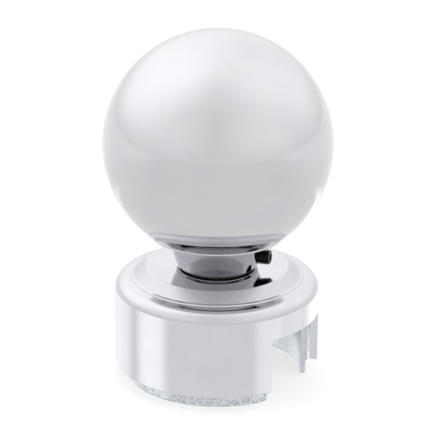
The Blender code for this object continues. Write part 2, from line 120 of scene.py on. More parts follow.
# The camera stands 30 degrees round from -Y and looks down on the object through a long lens.
CAMERA_AZIMUTH = 30.0
CAMERA_ELEVATION = 20.66
CAMERA_DISTANCE = 650.8 * MM
CAMERA_TARGET_Z = 42.75 * MM
CAMERA_ROLL = -0.467
CAMERA_LENS = 210.46

# Segments of turned and drilled shapes.
ROUND = 192
SLEEVE_ROUND = 288
WASHER_ROUND = 128
BUSH_ROUND = 96
STUD_ROUND = 72
NUT_BORE_ROUND = 64
SCREW_ROUND = 48
HOLE_ROUND = 32
POINT_ROUND = 24


# Meshes.


def polar(radius, angle):
    return radius * cos(radians(angle)), radius * sin(radians(angle))


def arc(centre_z, radius, start, end, count):
    """Points on an arc about a centre on the axis, from one angle in degrees to another."""
    angles = [radians(start + (end - start) * index / (count - 1)) for index in range(count)]
    return [(max(radius * cos(a), 0.0), centre_z + radius * sin(a)) for a in angles]


def rounded(corners, steps=4):
    """An outline whose corners, given as (x, z, fillet radius), are rounded by arcs."""
    outline = []
    for index, (x, z, radius) in enumerate(corners):
        here = Vector((x, z))
        if not radius:
            outline.append((x, z))
            continue
        before = (Vector(corners[index - 1][:2]) - here).normalized()
        after = (Vector(corners[(index + 1) % len(corners)][:2]) - here).normalized()
        half = before.angle(after) / 2
        reach = radius / tan(half)
        centre = here + (before + after).normalized() * radius / sin(half)
        start = here + before * reach - centre
        turn = (here + after * reach - centre).angle_signed(start)
        for step in range(steps + 1):
            outline.append(tuple(centre + Matrix.Rotation(turn * step / steps, 2) @ start))
    return outline


def split_long(outline, longest):
    """The closed outline with its long sides split into shorter ones."""
    split = []
    for (x, z), (next_x, next_z) in zip(outline, outline[1:] + outline[:1]):
        pieces = max(1, ceil(sqrt((next_x - x) ** 2 + (next_z - z) ** 2) / longest))
        for piece in range(pieces):
            share = piece / pieces
            split.append((x + (next_x - x) * share, z + (next_z - z) * share))
    return split


def finished(work):
    """The mesh of a bmesh, with its faces pointing out."""
    bmesh.ops.recalc_face_normals(work, faces=work.faces)
    mesh = bpy.data.meshes.new("piece")
    work.to_mesh(mesh)
    work.free()
    return mesh


def bridge(work, upper, lower):
    """Faces between two rings of vertices, either of which may be one vertex on the axis."""
    count = max(len(upper), len(lower))
    for index in range(count):
        after = (index + 1) % count
        if len(upper) == 1:
            work.faces.new((upper[0], lower[index], lower[after]))
        elif len(lower) == 1:
            work.faces.new((upper[index], lower[0], upper[after]))
        else:
            work.faces.new((upper[index], lower[index], lower[after], upper[after]))


def turned(outline, segments, closed=True):
    """A mesh turned about Z. An outline that isn't closed starts and ends on the axis."""
    work = bmesh.new()
    rings = []
    for radius, z in outline:
        if radius < 1e-7:
            rings.append([work.verts.new((0.0, 0.0, z))])
            continue
        turns = [2 * pi * index / segments for index in range(segments)]
        rings.append([work.verts.new((radius * cos(t), radius * sin(t), z)) for t in turns])
    for upper, lower in zip(rings, rings[1:] + rings[:1] if closed else rings[1:]):
        bridge(work, upper, lower)
    return finished(work)


def threaded(radius, depth, pitch, low, high, chamfer, segments):
    """A threaded rod: a cylinder whose radius follows the helix, narrowed at both ends."""
    work = bmesh.new()
    rows = ceil(12 * (high - low) / pitch)
    rings = [[work.verts.new((0.0, 0.0, low))]]
    for row in range(rows + 1):
        z = low + (high - low) * row / rows
        limit = radius - chamfer + min(z - low, high - z)
        ring = []
        for index in range(segments):
            phase = (z / pitch - index / segments) % 1.0
            flank = min(max(2.6 * abs(2 * phase - 1) - 0.6, 0.0), 1.0)
            reach = min(radius - depth * flank, limit)
            turn = 2 * pi * index / segments
            ring.append(work.verts.new((reach * cos(turn), reach * sin(turn), z)))
        rings.append(ring)
    rings.append([work.verts.new((0.0, 0.0, high))])
    for lower, upper in zip(rings, rings[1:]):
        bridge(work, lower, upper)
    return finished(work)


def prism(sides, radius, low, high, x=0.0, y=0.0, spin=0.0):
    """An upright prism, or with many sides a cylinder."""
    work = bmesh.new()
    place = Matrix.Translation((x, y, (low + high) / 2)) @ Matrix.Rotation(radians(spin), 4, "Z")
    bmesh.ops.create_cone(
        work, cap_ends=True, segments=sides, radius1=radius, radius2=radius, depth=high - low, matrix=place
    )
    return finished(work)


def cross(arm, half, low, high, x, y):
    """A plus-shaped prism, for a driver recess."""
    work = bmesh.new()
    outline = []
    for turn in range(4):
        spin = Matrix.Rotation(radians(90 * turn), 2)
        outline += [spin @ Vector(corner) for corner in ((arm, -half), (arm, half), (half, half))]
    face = work.faces.new([work.verts.new((x + p.x, y + p.y, low)) for p in outline])
    grown = bmesh.ops.extrude_face_region(work, geom=[face])["geom"]
    tops = [item for item in grown if isinstance(item, bmesh.types.BMVert)]
    bmesh.ops.translate(work, verts=tops, vec=(0, 0, high - low))
    return finished(work)


def window_wedge(half_angle):
    """The window's cutter: a wedge from the axis through +X, with rounded upper corners."""
    near, far, foot = 12 * MM, 34 * MM, -5 * MM
    spread = tan(radians(half_angle))
    work = bmesh.new()
    bmesh.ops.create_cube(work, size=1.0)
    for vert in work.verts:
        reach = far if vert.co.x > 0 else near
        side = reach * spread * (1 if vert.co.y > 0 else -1)
        vert.co = (reach, side, WINDOW_TOP_Z if vert.co.z > 0 else foot)
    tops = [
        edge
        for edge in work.edges
        if min(vert.co.z for vert in edge.verts) > 0 and abs(edge.verts[0].co.x - edge.verts[1].co.x) > MM
    ]
    bmesh.ops.bevel(work, geom=tops, offset=WINDOW_CORNER, segments=8, profile=0.5, affect="EDGES")
    return finished(work)


def split_ring(inner, outer, low, high, rise):
    """A lock washer: a square section swept most of the way round, its ends a little apart in height."""
    gap, count, edge = 7.0, 56, 0.12 * MM
    section = rounded([(inner, high, edge), (outer, high, edge), (outer, low, edge), (inner, low, edge)], 2)
    work = bmesh.new()
    rings = []
    for step in range(count + 1):
        share = step / count
        turn = radians(90 + gap + (360 - 2 * gap) * share)
        lift = rise * (share - 0.5)
        rings.append([work.verts.new((x * cos(turn), x * sin(turn), z + lift)) for x, z in section])
    for first, second in zip(rings, rings[1:]):
        bridge(work, first, second)
    work.faces.new(rings[0])
    work.faces.new(rings[-1])
    return finished(work)


def evaluated(obj):
    """Applies the object's modifiers."""
    bpy.context.view_layer.update()
    graph = bpy.context.evaluated_depsgraph_get()
    mesh = bpy.data.meshes.new_from_object(obj.evaluated_get(graph))
    obj.modifiers.clear()
    obj.data = mesh


def boolean(obj, mesh, operation="DIFFERENCE"):
    """Cuts the object by a mesh, or joins or crosses it with one."""
    tool = bpy.data.objects.new("tool", mesh)
    bpy.context.scene.collection.objects.link(tool)
    modifier = obj.modifiers.new("cut", "BOOLEAN")
    modifier.operation = operation
    modifier.object = tool
    evaluated(obj)
    bpy.data.objects.remove(tool)


def soften(obj, width, segments=2):
    """Rounds the sharp edges that a cut leaves."""
    bevel = obj.modifiers.new("soften", "BEVEL")
    bevel.limit_method = "ANGLE"
    bevel.angle_limit = radians(50)
    bevel.width = width
    bevel.segments = segments
    bevel.use_clamp_overlap = True
    evaluated(obj)


def shade(obj, sharp_angle=35.0):
    """Smooth shading that keeps flat faces flat and mirrors straight."""
    obj.data.shade_smooth()
    obj.data.set_sharp_from_angle(angle=radians(sharp_angle))
    weighted = obj.modifiers.new("weighted", "WEIGHTED_NORMAL")
    weighted.keep_sharp = True
    weighted.weight = 90
    evaluated(obj)


def piece(name, mesh):
    obj = bpy.data.objects.new(name, mesh)
    bpy.context.scene.collection.objects.link(obj)
    return obj


def fit(obj, body, kind, *nodes):
    """Gives a finished piece its material and its body, and hides the CAD nodes that it stands for."""
    slot, build = FINISHES[kind]
    if kind not in made_finishes:
        made_finishes[kind] = build(f"{kind}_finish")
    shade(obj)
    obj.data.materials.clear()
    obj.data.materials.append(made_finishes[kind])
    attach(obj, body)
    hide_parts(*nodes)


# Finishes.


class Tree:
    """A node tree, with short ways to add what the finishes and the light share."""

    def __init__(self, tree):
        self.tree = tree

    def add(self, kind, **settings):
        node = self.tree.nodes.new(kind)
        for key, value in settings.items():
            setattr(node, key, value)
        return node

    def link(self, source, target):
        self.tree.links.new(source, target)

    def maths(self, operation, *items):
        """The result of an operation on numbers and node outputs."""
        node = self.add("ShaderNodeMath", operation=operation)
        for socket, item in zip(node.inputs, items):
            if isinstance(item, float):
                socket.default_value = item
            else:
                self.link(item, socket)
        return node.outputs["Value"]

    def vector_maths(self, operation, source, output, constant=None):
        """The result of an operation on a vector, and on a constant one where it takes two."""
        node = self.add("ShaderNodeVectorMath", operation=operation)
        if constant is not None:
            node.inputs[1].default_value = constant
        self.link(source, node.inputs[0])
        return node.outputs[output]

    def spread(self, value, low, high, start=0.3, end=0.7):
        """Maps a range, by default the middle of a texture's, to two limits."""
        node = self.add("ShaderNodeMapRange", interpolation_type="SMOOTHSTEP")
        for name, number in (("From Min", start), ("From Max", end), ("To Min", low), ("To Max", high)):
            node.inputs[name].default_value = number
        self.link(value, node.inputs["Value"])
        return node.outputs["Result"]


class Finish(Tree):
    """A material's node tree, with the textures that the finishes are made of."""

    def __init__(self, name):
        self.material = bpy.data.materials.new(name)
        self.material.use_nodes = True
        super().__init__(self.material.node_tree)
        self.shader = self.tree.nodes["Principled BSDF"]
        self.place = self.add("ShaderNodeTexCoord").outputs["Object"]

    def set(self, **values):
        for key, value in values.items():
            self.shader.inputs[key.replace("_", " ")].default_value = value

    def noise(self, cell, detail=2.0, stretch=(1.0, 1.0, 1.0), roughness=0.5):
        """Noise from 0 to 1 with cells of about this size in metres."""
        mapping = self.add("ShaderNodeMapping")
        mapping.inputs["Scale"].default_value = [s / cell for s in stretch]
        texture = self.add("ShaderNodeTexNoise")
        texture.inputs["Scale"].default_value = 1.0
        texture.inputs["Detail"].default_value = detail
        texture.inputs["Roughness"].default_value = roughness
        self.link(self.place, mapping.inputs["Vector"])
        self.link(mapping.outputs["Vector"], texture.inputs["Vector"])
        return texture.outputs["Fac"]

    def cells(self, size):
        """Voronoi distance, for a grain of about this size in metres."""
        texture = self.add("ShaderNodeTexVoronoi")
        texture.inputs["Scale"].default_value = 1.0 / size
        self.link(self.place, texture.inputs["Vector"])
        return texture.outputs["Distance"]

    def rings(self, pitch):
        """Fine turning marks about the axis."""
        texture = self.add("ShaderNodeTexWave", wave_type="RINGS", rings_direction="Z")
        texture.inputs["Scale"].default_value = 0.3 / pitch
        texture.inputs["Distortion"].default_value = 0.6
        texture.inputs["Detail"].default_value = 2.0
        self.link(self.place, texture.inputs["Vector"])
        return texture.outputs["Fac"]

    def position(self):
        """Height, and distance from the axis."""
        parts = self.add("ShaderNodeSeparateXYZ")
        self.link(self.place, parts.inputs["Vector"])
        flat = self.add("ShaderNodeCombineXYZ")
        self.link(parts.outputs["X"], flat.inputs["X"])
        self.link(parts.outputs["Y"], flat.inputs["Y"])
        return parts.outputs["Z"], self.vector_maths("LENGTH", flat.outputs["Vector"], "Value")

    def choose(self, factor, first, second):
        """A value between two, by a factor from 0 to 1."""
        node = self.add("ShaderNodeMix", data_type="FLOAT")
        self.link(factor, node.inputs[0])
        self.link(first, node.inputs[2])
        self.link(second, node.inputs[3])
        return node.outputs[0]

    def blend(self, factor, first, second):
        """A colour between two, each a constant or a node's output, by a factor from 0 to 1."""
        node = self.add("ShaderNodeMix", data_type="RGBA")
        sockets = [socket for socket in node.inputs if socket.type == "RGBA"]
        for socket, colour in zip(sockets, (first, second)):
            if isinstance(colour, tuple):
                socket.default_value = (*colour, 1.0)
            else:
                self.link(colour, socket)
        self.link(factor, node.inputs["Factor"])
        return next(socket for socket in node.outputs if socket.type == "RGBA")

    def bump(self, height, depth, strength=1.0):
        """Bump of a texture, its depth in metres."""
        node = self.add("ShaderNodeBump")
        node.inputs["Strength"].default_value = strength
        node.inputs["Distance"].default_value = depth
        self.link(height, node.inputs["Height"])
        self.link(node.outputs["Normal"], self.shader.inputs["Normal"])

    def colour(self, source):
        self.link(source, self.shader.inputs["Base Color"])

    def roughness(self, source):
        self.link(source, self.shader.inputs["Roughness"])


def plated(name, dark, light, haze):
    """Polished chrome with a trace of orange peel. Its cloudy colour and roughness are still to be linked."""
    made = Finish(name)
    made.set(Metallic=1.0)
    cloud = made.noise(9 * MM, 3.0)
    colour = made.blend(made.spread(cloud, 0.0, 1.0), dark, light)
    hairlines = made.spread(made.noise(0.25 * MM, 2.0, (1.0, 1.0, 0.06)), 0.0, 0.02, 0.55, 0.75)
    roughness = made.maths("ADD", made.spread(cloud, *haze), hairlines)
    made.bump(made.noise(2.2 * MM, 1.0), 0.0012 * MM)
    return made, colour, roughness


def plain_chrome(name, dark, light, haze):
    """Chrome with the same polish all over."""
    made, colour, roughness = plated(name, dark, light, haze)
    made.colour(colour)
    made.roughness(roughness)
    return made.material


def polished_chrome(name):
    """The cover's chrome, which is brushed to satin on the sloping rim round the dish."""
    made, colour, roughness = plated(name, (0.592, 0.592, 0.618), (0.616, 0.616, 0.640), (0.035, 0.06))
    height, radius = made.position()
    outside = made.spread(radius, 0.0, 1.0, DISH_RADIUS, DISH_RADIUS + 0.2 * MM)
    above = made.spread(height, 0.0, 1.0, STEP_FOOT_Z, STEP_FOOT_Z + 0.15 * MM)
    brushed = made.maths("MULTIPLY", outside, above)
    strokes = made.spread(made.noise(0.5 * MM, 2.0, (0.15, 0.15, 2.0)), 0.21, 0.26)
    made.roughness(made.choose(brushed, roughness, strokes))
    made.colour(made.blend(brushed, colour, (0.545, 0.540, 0.575)))
    return made.material


def shaded_neck_chrome(name):
    """The neck's chrome, darker than the cover's: painted shade, the dark reflections on the neck put into
    its colour.
    """
    return plain_chrome(name, (0.400, 0.400, 0.420), (0.440, 0.440, 0.460), (0.04, 0.07))


def pearl_chrome(name):
    """Chrome buffed softer, for the ball."""
    return plain_chrome(name, (0.602, 0.610, 0.626), (0.622, 0.626, 0.640), (0.07, 0.10))


def plated_casting(name):
    """A die casting under thin plating: smooth on its walls, speckled on the unfinished lip at its foot."""
    made = Finish(name)
    made.set(Metallic=1.0)
    grain = made.noise(0.7 * MM, 4.0, roughness=0.6)
    patches = made.noise(4 * MM, 3.0)
    height, radius = made.position()
    low = made.spread(height, 1.0, 0.0, LIP_HEIGHT - 0.3 * MM, LIP_HEIGHT + 0.3 * MM)
    outer = made.spread(radius, 0.0, 1.0, LIP_RADIUS - 0.7 * MM, LIP_RADIUS - 0.4 * MM)
    walls, speckles = made.spread(patches, 0.42, 0.60), made.spread(grain, 0.0, 1.0, 0.38, 0.62)
    tone = made.choose(made.maths("MULTIPLY", low, outer), walls, speckles)
    made.colour(made.blend(tone, (0.41, 0.43, 0.46), (0.69, 0.71, 0.74)))
    made.roughness(made.maths("ADD", made.spread(grain, 0.16, 0.30), made.spread(patches, 0.0, 0.08)))
    made.bump(made.maths("ADD", grain, made.cells(0.8 * MM)), 0.006 * MM, 0.4)
    return made.material


def black_oxide(name):
    """Blackened steel, oily, worn to grey on its highest points."""
    made = Finish(name)
    made.set(Metallic=0.85, Specular_IOR_Level=0.5)
    wear = made.noise(0.35 * MM, 4.0)
    worn = made.spread(wear, 0.0, 1.0, 0.55, 0.8)
    made.colour(made.blend(worn, (0.012, 0.012, 0.014), (0.09, 0.09, 0.095)))
    made.roughness(made.spread(made.noise(0.6 * MM, 3.0), 0.22, 0.42))
    made.bump(made.noise(0.12 * MM, 3.0), 0.008 * MM, 0.6)
    return made.material


def zinc_plate(name):
    """Clear zinc plate with turning marks and a faint blue and straw cast."""
    made = Finish(name)
    made.set(Metallic=1.0)
    cast = made.noise(3 * MM, 2.0)
    made.colour(made.blend(made.spread(cast, 0.0, 1.0), (0.54, 0.58, 0.63), (0.66, 0.65, 0.60)))
    grain = made.spread(made.noise(0.8 * MM, 4.0), 0.18, 0.32)
    made.roughness(made.maths("ADD", grain, made.spread(cast, 0.0, 0.06)))
    made.bump(made.maths("ADD", made.rings(0.12 * MM), made.noise(0.15 * MM, 3.0)), 0.006 * MM, 0.5)
    return made.material


def machined_brass(name):
    """Turned brass, a little tarnished in patches."""
    made = Finish(name)
    made.set(Metallic=1.0)
    tarnish = made.noise(1.6 * MM, 4.0)
    made.colour(made.blend(made.spread(tarnish, 0.0, 1.0), (0.78, 0.56, 0.24), (0.58, 0.38, 0.14)))
    made.roughness(made.spread(tarnish, 0.16, 0.36))
    made.bump(made.rings(0.08 * MM), 0.005 * MM, 0.5)
    return made.material


def black_rubber(name):
    """Matt black rubber with fine dust and moulding grain."""
    made = Finish(name)
    made.set(Metallic=0.0, Specular_IOR_Level=0.3)
    dust = made.noise(0.7 * MM, 5.0)
    dusty = made.spread(dust, 0.0, 1.0, 0.5, 0.8)
    made.colour(made.blend(dusty, (0.010, 0.010, 0.011), (0.035, 0.035, 0.036)))
    made.roughness(made.spread(dust, 0.55, 0.75))
    made.bump(made.noise(0.2 * MM, 4.0), 0.01 * MM, 0.6)
    return made.material


# Each finish: its slot in the frame, and the function that makes it.
FINISHES = {
    "polished_chrome": ("chrome", polished_chrome),
    "pearl_chrome": ("chrome", pearl_chrome),
    "shaded_neck_chrome": ("chrome", shaded_neck_chrome),
    "plated_casting": ("plated_casting", plated_casting),
    "black_oxide": ("black_oxide", black_oxide),
    "zinc_plate": ("zinc_plate", zinc_plate),
    "machined_brass": ("brass", machined_brass),
    "black_rubber": ("black_rubber", black_rubber),
}


made_finishes = {}


# The knob.


def ball():
    """Hollow ball with a bored boss inside, which stands on the neck."""
    land_angle = -degrees(acos(LAND_RADIUS / BALL_RADIUS))
    land_z = BALL_Z + BALL_RADIUS * sin(radians(land_angle))
    inner = BALL_RADIUS - BALL_WALL
    bore = SPIGOT_RADIUS + SPIGOT_CLEARANCE
    boss_top = neck_high.z + SPIGOT_CLEARANCE
    hollow_angle = -degrees(acos(BALL_BOSS_RADIUS / inner))
    outline = arc(BALL_Z, BALL_RADIUS, 90, 0, 49) + arc(BALL_Z, BALL_RADIUS, 0, land_angle, 35)[1:]
    outline += [(LAND_RADIUS, land_z - LAND_HEIGHT), (LAND_RADIUS - 0.15 * MM, SEAT_Z)]
    outline += [(bore, SEAT_Z), (bore, boss_top), (BALL_BOSS_RADIUS, boss_top)]
    outline += arc(BALL_Z, inner, hollow_angle, 90, 25)
    fit(piece("ball", turned(outline, ROUND, closed=False)), "knob", "pearl_chrome", "knob_ball")


def set_screw_place():
    """Turns a piece drawn along +Z so that it points out of the neck."""
    turn = Matrix.Rotation(radians(SET_SCREW_ANGLE), 4, "Z") @ Matrix.Rotation(radians(90), 4, "Y")
    return Matrix.Translation((0, 0, SET_SCREW_Z)) @ turn


def neck():
    """Tapered collar with its spigot and the tapped cross hole for the set screw."""
    top = SEAT_Z - 0.02 * MM
    ledge = insert_low.z - SPIGOT_CLEARANCE
    waist = NECK_FOOT_Z + NECK_WAIST_HEIGHT
    outline = rounded([
        (SPIGOT_RADIUS, neck_high.z, 0.4 * MM),
        (SPIGOT_RADIUS, top, 0.0),
        (NECK_TOP_RADIUS, top, 0.15 * MM),
        (NECK_WAIST_RADIUS, waist, 0.2 * MM),
        (NECK_FOOT_RADIUS, waist - 0.35 * MM, 0.1 * MM),
        (NECK_FOOT_RADIUS, NECK_FOOT_Z, 0.15 * MM),
        (NECK_BORE_RADIUS, NECK_FOOT_Z, 0.2 * MM),
        (NECK_BORE_RADIUS, ledge, 0.0),
        (INSERT_SEAT_RADIUS, ledge, 0.0),
        (INSERT_SEAT_RADIUS, neck_high.z, 0.2 * MM),
    ], 6)
    made = piece("neck", turned(outline, ROUND))
    hole = prism(SCREW_ROUND, SET_SCREW_RADIUS + 0.12 * MM, 4 * MM, 16 * MM)
    hole.transform(set_screw_place())
    boolean(made, hole)
    soften(made, 0.08 * MM)
    # The neck's chrome is darkened in colour by painted shade.
    fit(made, "knob", "shaded_neck_chrome", "knob_neck")


def thread_insert():
    """Grooved brass bush inside the spigot."""
    groove = 0.5 * MM
    middle = (insert_low.z + insert_high.z) / 2
    edge = 0.25 * MM
    outline = rounded([
        (HUB_RADIUS, insert_high.z, edge),
        (insert_high.x, insert_high.z, edge),
        (insert_high.x, middle + 2 * groove, 0.0),
        (insert_high.x - groove, middle + groove, 0.0),
        (insert_high.x - groove, middle - groove, 0.0),
        (insert_high.x, middle - 2 * groove, 0.0),
        (insert_high.x, insert_low.z, edge),
        (HUB_RADIUS, insert_low.z, edge),
    ])
    made = piece("thread_insert", turned(outline, BUSH_ROUND))
    fit(made, "knob_insert", "machined_brass", "knob_thread_insert")


def set_screw():
    """Socket set screw with a real thread, a cup point and a hexagon socket."""
    start = SET_SCREW_END - SET_SCREW_LENGTH
    mesh = threaded(SET_SCREW_RADIUS, 0.36 * MM, 0.7 * MM, start, SET_SCREW_END, 0.35 * MM, SCREW_ROUND)
    made = piece("set_screw", mesh)
    boolean(made, prism(6, 1.12 * MM, SET_SCREW_END - 2.2 * MM, SET_SCREW_END + MM))
    below = start - 0.2 * MM
    cup = [(0.0, start + 0.6 * MM), (1.0 * MM, below), (0.0, below)]
    boolean(made, turned(cup, POINT_ROUND, False))
    made.data.transform(set_screw_place())
    fit(made, "set_screw", "black_oxide", "neck_set_screw")


# The adapter.


def neck_washer():
    """Black washer that fills the gap between the neck and the dish."""
    top = NECK_FOOT_Z - 0.02 * MM
    edge = 0.12 * MM
    inner = NECK_BORE_RADIUS + 0.2 * MM
    outline = rounded([
        (inner, top, edge),
        (washer_high.x, top, edge),
        (washer_high.x, DISH_CENTRE_Z + 0.02 * MM, edge),
        (inner, DISH_CENTRE_Z + 0.02 * MM, edge),
    ])
    fit(piece("washer", turned(outline, WASHER_ROUND)), "adapter", "black_rubber", "neck_washer")


def cover():
    """Chrome cap: dished deck, stepped rim, rounded shoulder and skirt, with the window cut out."""
    bead = STEP_FOOT_RADIUS + 0.65 * MM
    outline = rounded([
        (HUB_RADIUS, DISH_CENTRE_Z, 0.2 * MM),
        (DISH_BEND_RADIUS, DISH_CENTRE_Z, 40.0 * MM),
        (DISH_RADIUS, DISH_EDGE_Z, 0.22 * MM),
        (STEP_FOOT_RADIUS, STEP_FOOT_Z, 0.12 * MM),
        (bead, STEP_FOOT_Z - 0.1 * MM, 0.12 * MM),
        (bead + 0.1 * MM, STEP_FOOT_Z - 0.42 * MM, 0.06 * MM),
        (SKIRT_RADIUS, RIM_CORNER_Z, SHOULDER_RADIUS),
        (SKIRT_RADIUS, cover_low.z, 0.4 * MM),
        (SKIRT_BORE_RADIUS, cover_low.z, 0.4 * MM),
        (SKIRT_BORE_RADIUS, SKIRT_CEILING_Z, 1.4 * MM),
        (STEP_FOOT_RADIUS - 1.2 * MM, SKIRT_CEILING_Z, 0.3 * MM),
        (DISH_RADIUS - 1.0 * MM, DECK_UNDERSIDE_Z, 0.3 * MM),
        (HUB_RADIUS, DECK_UNDERSIDE_Z, 0.2 * MM),
    ], 8)
    made = piece("cover", turned(outline, ROUND))
    boss_low, boss_high = WEB_TOP_Z + 0.05 * MM, DECK_UNDERSIDE_Z + 0.6 * MM
    for angle in COVER_SCREW_ANGLES:
        x, y = polar(BOLT_CIRCLE, angle)
        boolean(made, prism(HOLE_ROUND, COVER_BOSS_RADIUS, boss_low, boss_high, x, y), "UNION")
    boolean(made, prism(HOLE_ROUND, PIN_BOSS_RADIUS, boss_low, boss_high, BOLT_CIRCLE), "UNION")
    for angle in COVER_SCREW_ANGLES:
        x, y = polar(BOLT_CIRCLE, angle)
        boolean(made, prism(HOLE_ROUND, SCREW_HOLE_RADIUS, boss_low - MM, DECK_UNDERSIDE_Z, x, y))
    boolean(made, prism(POINT_ROUND, 1.45 * MM, boss_low - MM, DECK_UNDERSIDE_Z - 0.8 * MM, BOLT_CIRCLE))
    boolean(made, window_wedge(SKIRT_WINDOW_HALF_ANGLE))
    soften(made, 0.12 * MM)
    fit(made, "adapter", "polished_chrome", "adapter_cover")


def cast_surface(mesh, height):
    """Roughens the lip of the sleeve, below a height, the way a casting's unfinished edge is."""
    for vert in mesh.vertices:
        depth = min(max((height - vert.co.z) / MM, 0.0), 1.0)
        grain = noise.noise(vert.co / (1.1 * MM)) + 0.5 * noise.noise(vert.co / (0.45 * MM))
        side = Vector((vert.co.x, vert.co.y, 0.0)).normalized()
        vert.co += side * min(grain, 0.4) * 0.14 * MM * depth


def sleeve():
    """Cast sleeve: web on top, wall, bosses for the valve's screws and a rough lip at the foot."""
    outline = rounded([
        (HUB_RADIUS, WEB_TOP_Z, 0.2 * MM),
        (SLEEVE_RADIUS, WEB_TOP_Z, 0.6 * MM),
        (SLEEVE_RADIUS, LIP_HEIGHT, 0.1 * MM),
        (LIP_RADIUS, LIP_HEIGHT - 0.3 * MM, 0.2 * MM),
        (LIP_RADIUS, sleeve_low.z, 0.7 * MM),
        (SLEEVE_BORE_RADIUS, sleeve_low.z, 0.3 * MM),
        (SLEEVE_BORE_RADIUS, WEB_Z, 1.0 * MM),
        (HUB_RADIUS, WEB_Z, 0.2 * MM),
    ])
    mesh = turned(split_long(outline, 0.6 * MM), SLEEVE_ROUND)
    cast_surface(mesh, LIP_HEIGHT)
    made = piece("sleeve", mesh)
    for angle in VALVE_BOSS_ANGLES:
        x, y = polar(VALVE_BOSS_CIRCLE, angle)
        boolean(made, prism(SCREW_ROUND, VALVE_BOSS_RADIUS, VALVE_BOSS_FOOT_Z, WEB_Z + MM, x, y), "UNION")
    for angle in VALVE_BOSS_ANGLES:
        x, y = polar(VALVE_BOSS_CIRCLE, angle)
        boolean(made, prism(SCREW_ROUND, VALVE_BOSS_BORE, VALVE_BOSS_FOOT_Z - MM, WEB_Z - 0.3 * MM, x, y))
    for angle in COVER_SCREW_ANGLES:
        x, y = polar(BOLT_CIRCLE, angle)
        boolean(made, prism(HOLE_ROUND, SCREW_HOLE_RADIUS, WEB_Z - MM, WEB_TOP_Z + MM, x, y))
    boolean(made, prism(POINT_ROUND, 1.3 * MM, WEB_Z - MM, WEB_TOP_Z + MM, BOLT_CIRCLE))
    boolean(made, window_wedge(SLEEVE_WINDOW_HALF_ANGLE))
    soften(made, 0.1 * MM, 1)
    fit(made, "adapter", "plated_casting", "adapter_sleeve")


def stud():
    """Stud with a real 1/2-13 thread."""
    mesh = threaded(STUD_RADIUS, 1.15 * MM, 25.4 / 13 * MM, stud_low.z, stud_high.z, 1.4 * MM, STUD_ROUND)
    fit(piece("stud", mesh), "adapter", "zinc_plate", "mounting_stud")


def nut():
    """Hexagon jam nut, its corners turned off, with chamfered hole."""
    flat = (nut_high.y - nut_low.y) / 2
    corner = flat / cos(radians(30))
    low, high = nut_low.z, nut_high.z + 0.2 * MM
    made = piece("nut", prism(6, corner, low, high))
    fall, wide = 1.45 * MM, corner + 0.9 * MM
    lens = [(0.0, high), (flat, high), (wide, high - fall), (wide, low + fall), (flat, low), (0.0, low)]
    boolean(made, turned(lens, BUSH_ROUND, False), "INTERSECT")
    boolean(made, prism(NUT_BORE_ROUND, STUD_RADIUS + 0.05 * MM, low - MM, high + MM))
    soften(made, 0.15 * MM)
    fit(made, "adapter", "zinc_plate", "stud_nut")


def stud_washers():
    """Flat washer under the web, and the lock washer between it and the nut."""
    low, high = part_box("stud_flat_washer")
    edge = 0.2 * MM
    inner = HUB_RADIUS
    top = WEB_Z - 0.03 * MM
    outline = rounded([(inner, top, edge), (high.x, top, edge), (high.x, low.z, edge), (inner, low.z, edge)])
    fit(piece("flat_washer", turned(outline, BUSH_ROUND)), "adapter", "zinc_plate", "stud_flat_washer")
    low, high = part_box("stud_lock_washer")
    ring = split_ring(inner, high.x, low.z - 0.02 * MM, high.z + 0.02 * MM, 0.2 * MM)
    fit(piece("lock_washer", ring), "adapter", "zinc_plate", "stud_lock_washer")


def cover_screws():
    """Pan head screws with cross recesses, each on its own lock washer."""
    low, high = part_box("cover_screw_1")
    ring_low, ring_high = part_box("cover_screw_lock_washer_1")
    head, shank = 2.7 * MM, 1.75 * MM
    seat = ring_low.z - 0.1 * MM
    outline = rounded([
        (0.0, high.z, 0.0),
        (shank, high.z, 0.3 * MM),
        (shank, seat, 0.0),
        (head, seat, 0.1 * MM),
        (head, low.z, 0.9 * MM),
        (0.0, low.z, 0.0),
    ], 6)
    for index, angle in enumerate(COVER_SCREW_ANGLES):
        x, y = polar(BOLT_CIRCLE, angle)
        made = piece(f"screw_{index + 1}", turned(outline, SCREW_ROUND, False))
        boolean(made, cross(1.5 * MM, 0.35 * MM, low.z - MM, low.z + 1.2 * MM, 0.0, 0.0))
        soften(made, 0.05 * MM, 1)
        made.data.transform(Matrix.Translation((x, y, 0.0)))
        fit(made, "adapter", "zinc_plate", f"cover_screw_{index + 1}")
        spring = split_ring(2.0 * MM, 3.0 * MM, ring_low.z, ring_high.z, 0.1 * MM)
        ring = piece(f"screw_washer_{index + 1}", spring)
        ring.data.transform(Matrix.Translation((x, y, 0.0)))
        fit(ring, "adapter", "zinc_plate", f"cover_screw_lock_washer_{index + 1}")


def valve_inserts():
    """Knurled brass bushes in the bosses."""
    for index, angle in enumerate(VALVE_BOSS_ANGLES):
        low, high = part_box(f"valve_screw_insert_{index + 1}")
        middle = (low.z + high.z) / 2
        outer, bore, waist = 2.9 * MM, 1.95 * MM, 2.5 * MM
        edge = 0.2 * MM
        outline = rounded([
            (bore, high.z, edge),
            (outer, high.z, edge),
            (outer, middle + 0.8 * MM, 0.0),
            (waist, middle + 0.4 * MM, 0.0),
            (waist, middle - 0.4 * MM, 0.0),
            (outer, middle - 0.8 * MM, 0.0),
            (outer, low.z, edge),
            (bore, low.z, edge),
        ])
        mesh = turned(split_long(outline, 0.4 * MM), BUSH_ROUND)
        for vert in mesh.vertices:
            ridge = cos(24 * atan2(vert.co.y, vert.co.x))
            if vert.co.xy.length > waist:
                vert.co.xy *= 1 - 0.02 * (1 - ridge) / 2
        mesh.transform(Matrix.Translation((*polar(VALVE_BOSS_CIRCLE, angle), 0.0)))
        made = piece(f"valve_bush_{index + 1}", mesh)
        fit(made, "adapter", "machined_brass", f"valve_screw_insert_{index + 1}")


